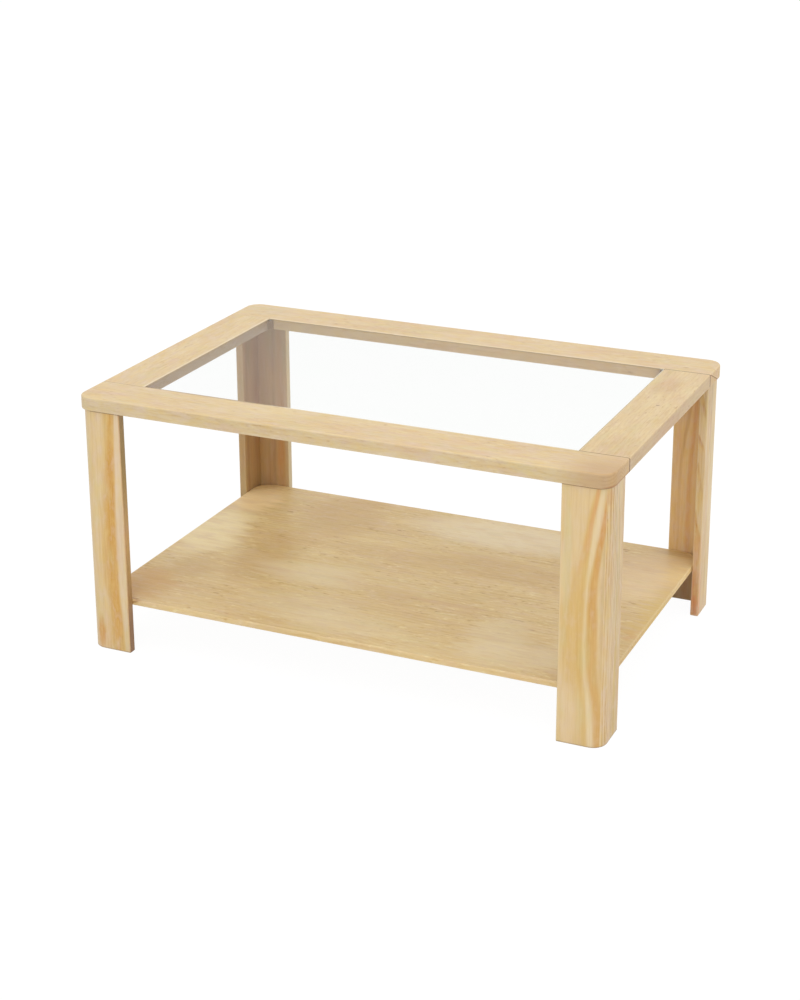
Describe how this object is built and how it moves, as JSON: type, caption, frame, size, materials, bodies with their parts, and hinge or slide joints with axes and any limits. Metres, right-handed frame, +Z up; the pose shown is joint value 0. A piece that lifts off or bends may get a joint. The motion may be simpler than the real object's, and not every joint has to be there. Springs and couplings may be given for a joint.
{
  "type": "coffee table",
  "caption": "Low rectangular coffee table with a pine frame round an inset glass pane, L-shaped legs with rounded outer corners, and a thin shelf low between them.",
  "frame": {"origin": "on the floor, under the middle of the table", "axes": "+X along the table's length to the right, +Y to the back, +Z up"},
  "size_m": [0.9, 0.595, 0.44],
  "materials": {
    "pine_rail": "satin clear lacquer",
    "pine_leg": "satin clear lacquer",
    "pine_shelf": "satin clear lacquer",
    "beech": "fluted, raw",
    "birch_plywood": "raw",
    "clear_glass": "polished",
    "clear_silicone": "clear, soft",
    "brown_plastic": "moulded, matt"
  },
  "bodies": {
    "table": {"front_rail": "pine_rail", "back_rail": "pine_rail", "left_rail": "pine_rail", "right_rail": "pine_rail", "front_left_leg_face": "pine_leg", "front_left_leg_side": "pine_leg", "front_right_leg_face": "pine_leg", "front_right_leg_side": "pine_leg", "back_left_leg_face": "pine_leg", "back_left_leg_side": "pine_leg", "back_right_leg_face": "pine_leg", "back_right_leg_side": "pine_leg", "shelf": "pine_shelf", "leg_splines": "birch_plywood", "leg_dowels": "beech", "rail_dowels": "beech", "shelf_dowels": "beech", "glass_bumpers": "clear_silicone", "glass_supports": "brown_plastic"},
    "glass": {"glass_pane": "clear_glass"}
  },
  "joints": [
    {"name": "glass_lift", "type": "slide", "parent": "table", "child": "glass", "axis": [0, 0, 1], "range_m": [0, 0.06]}
  ]
}
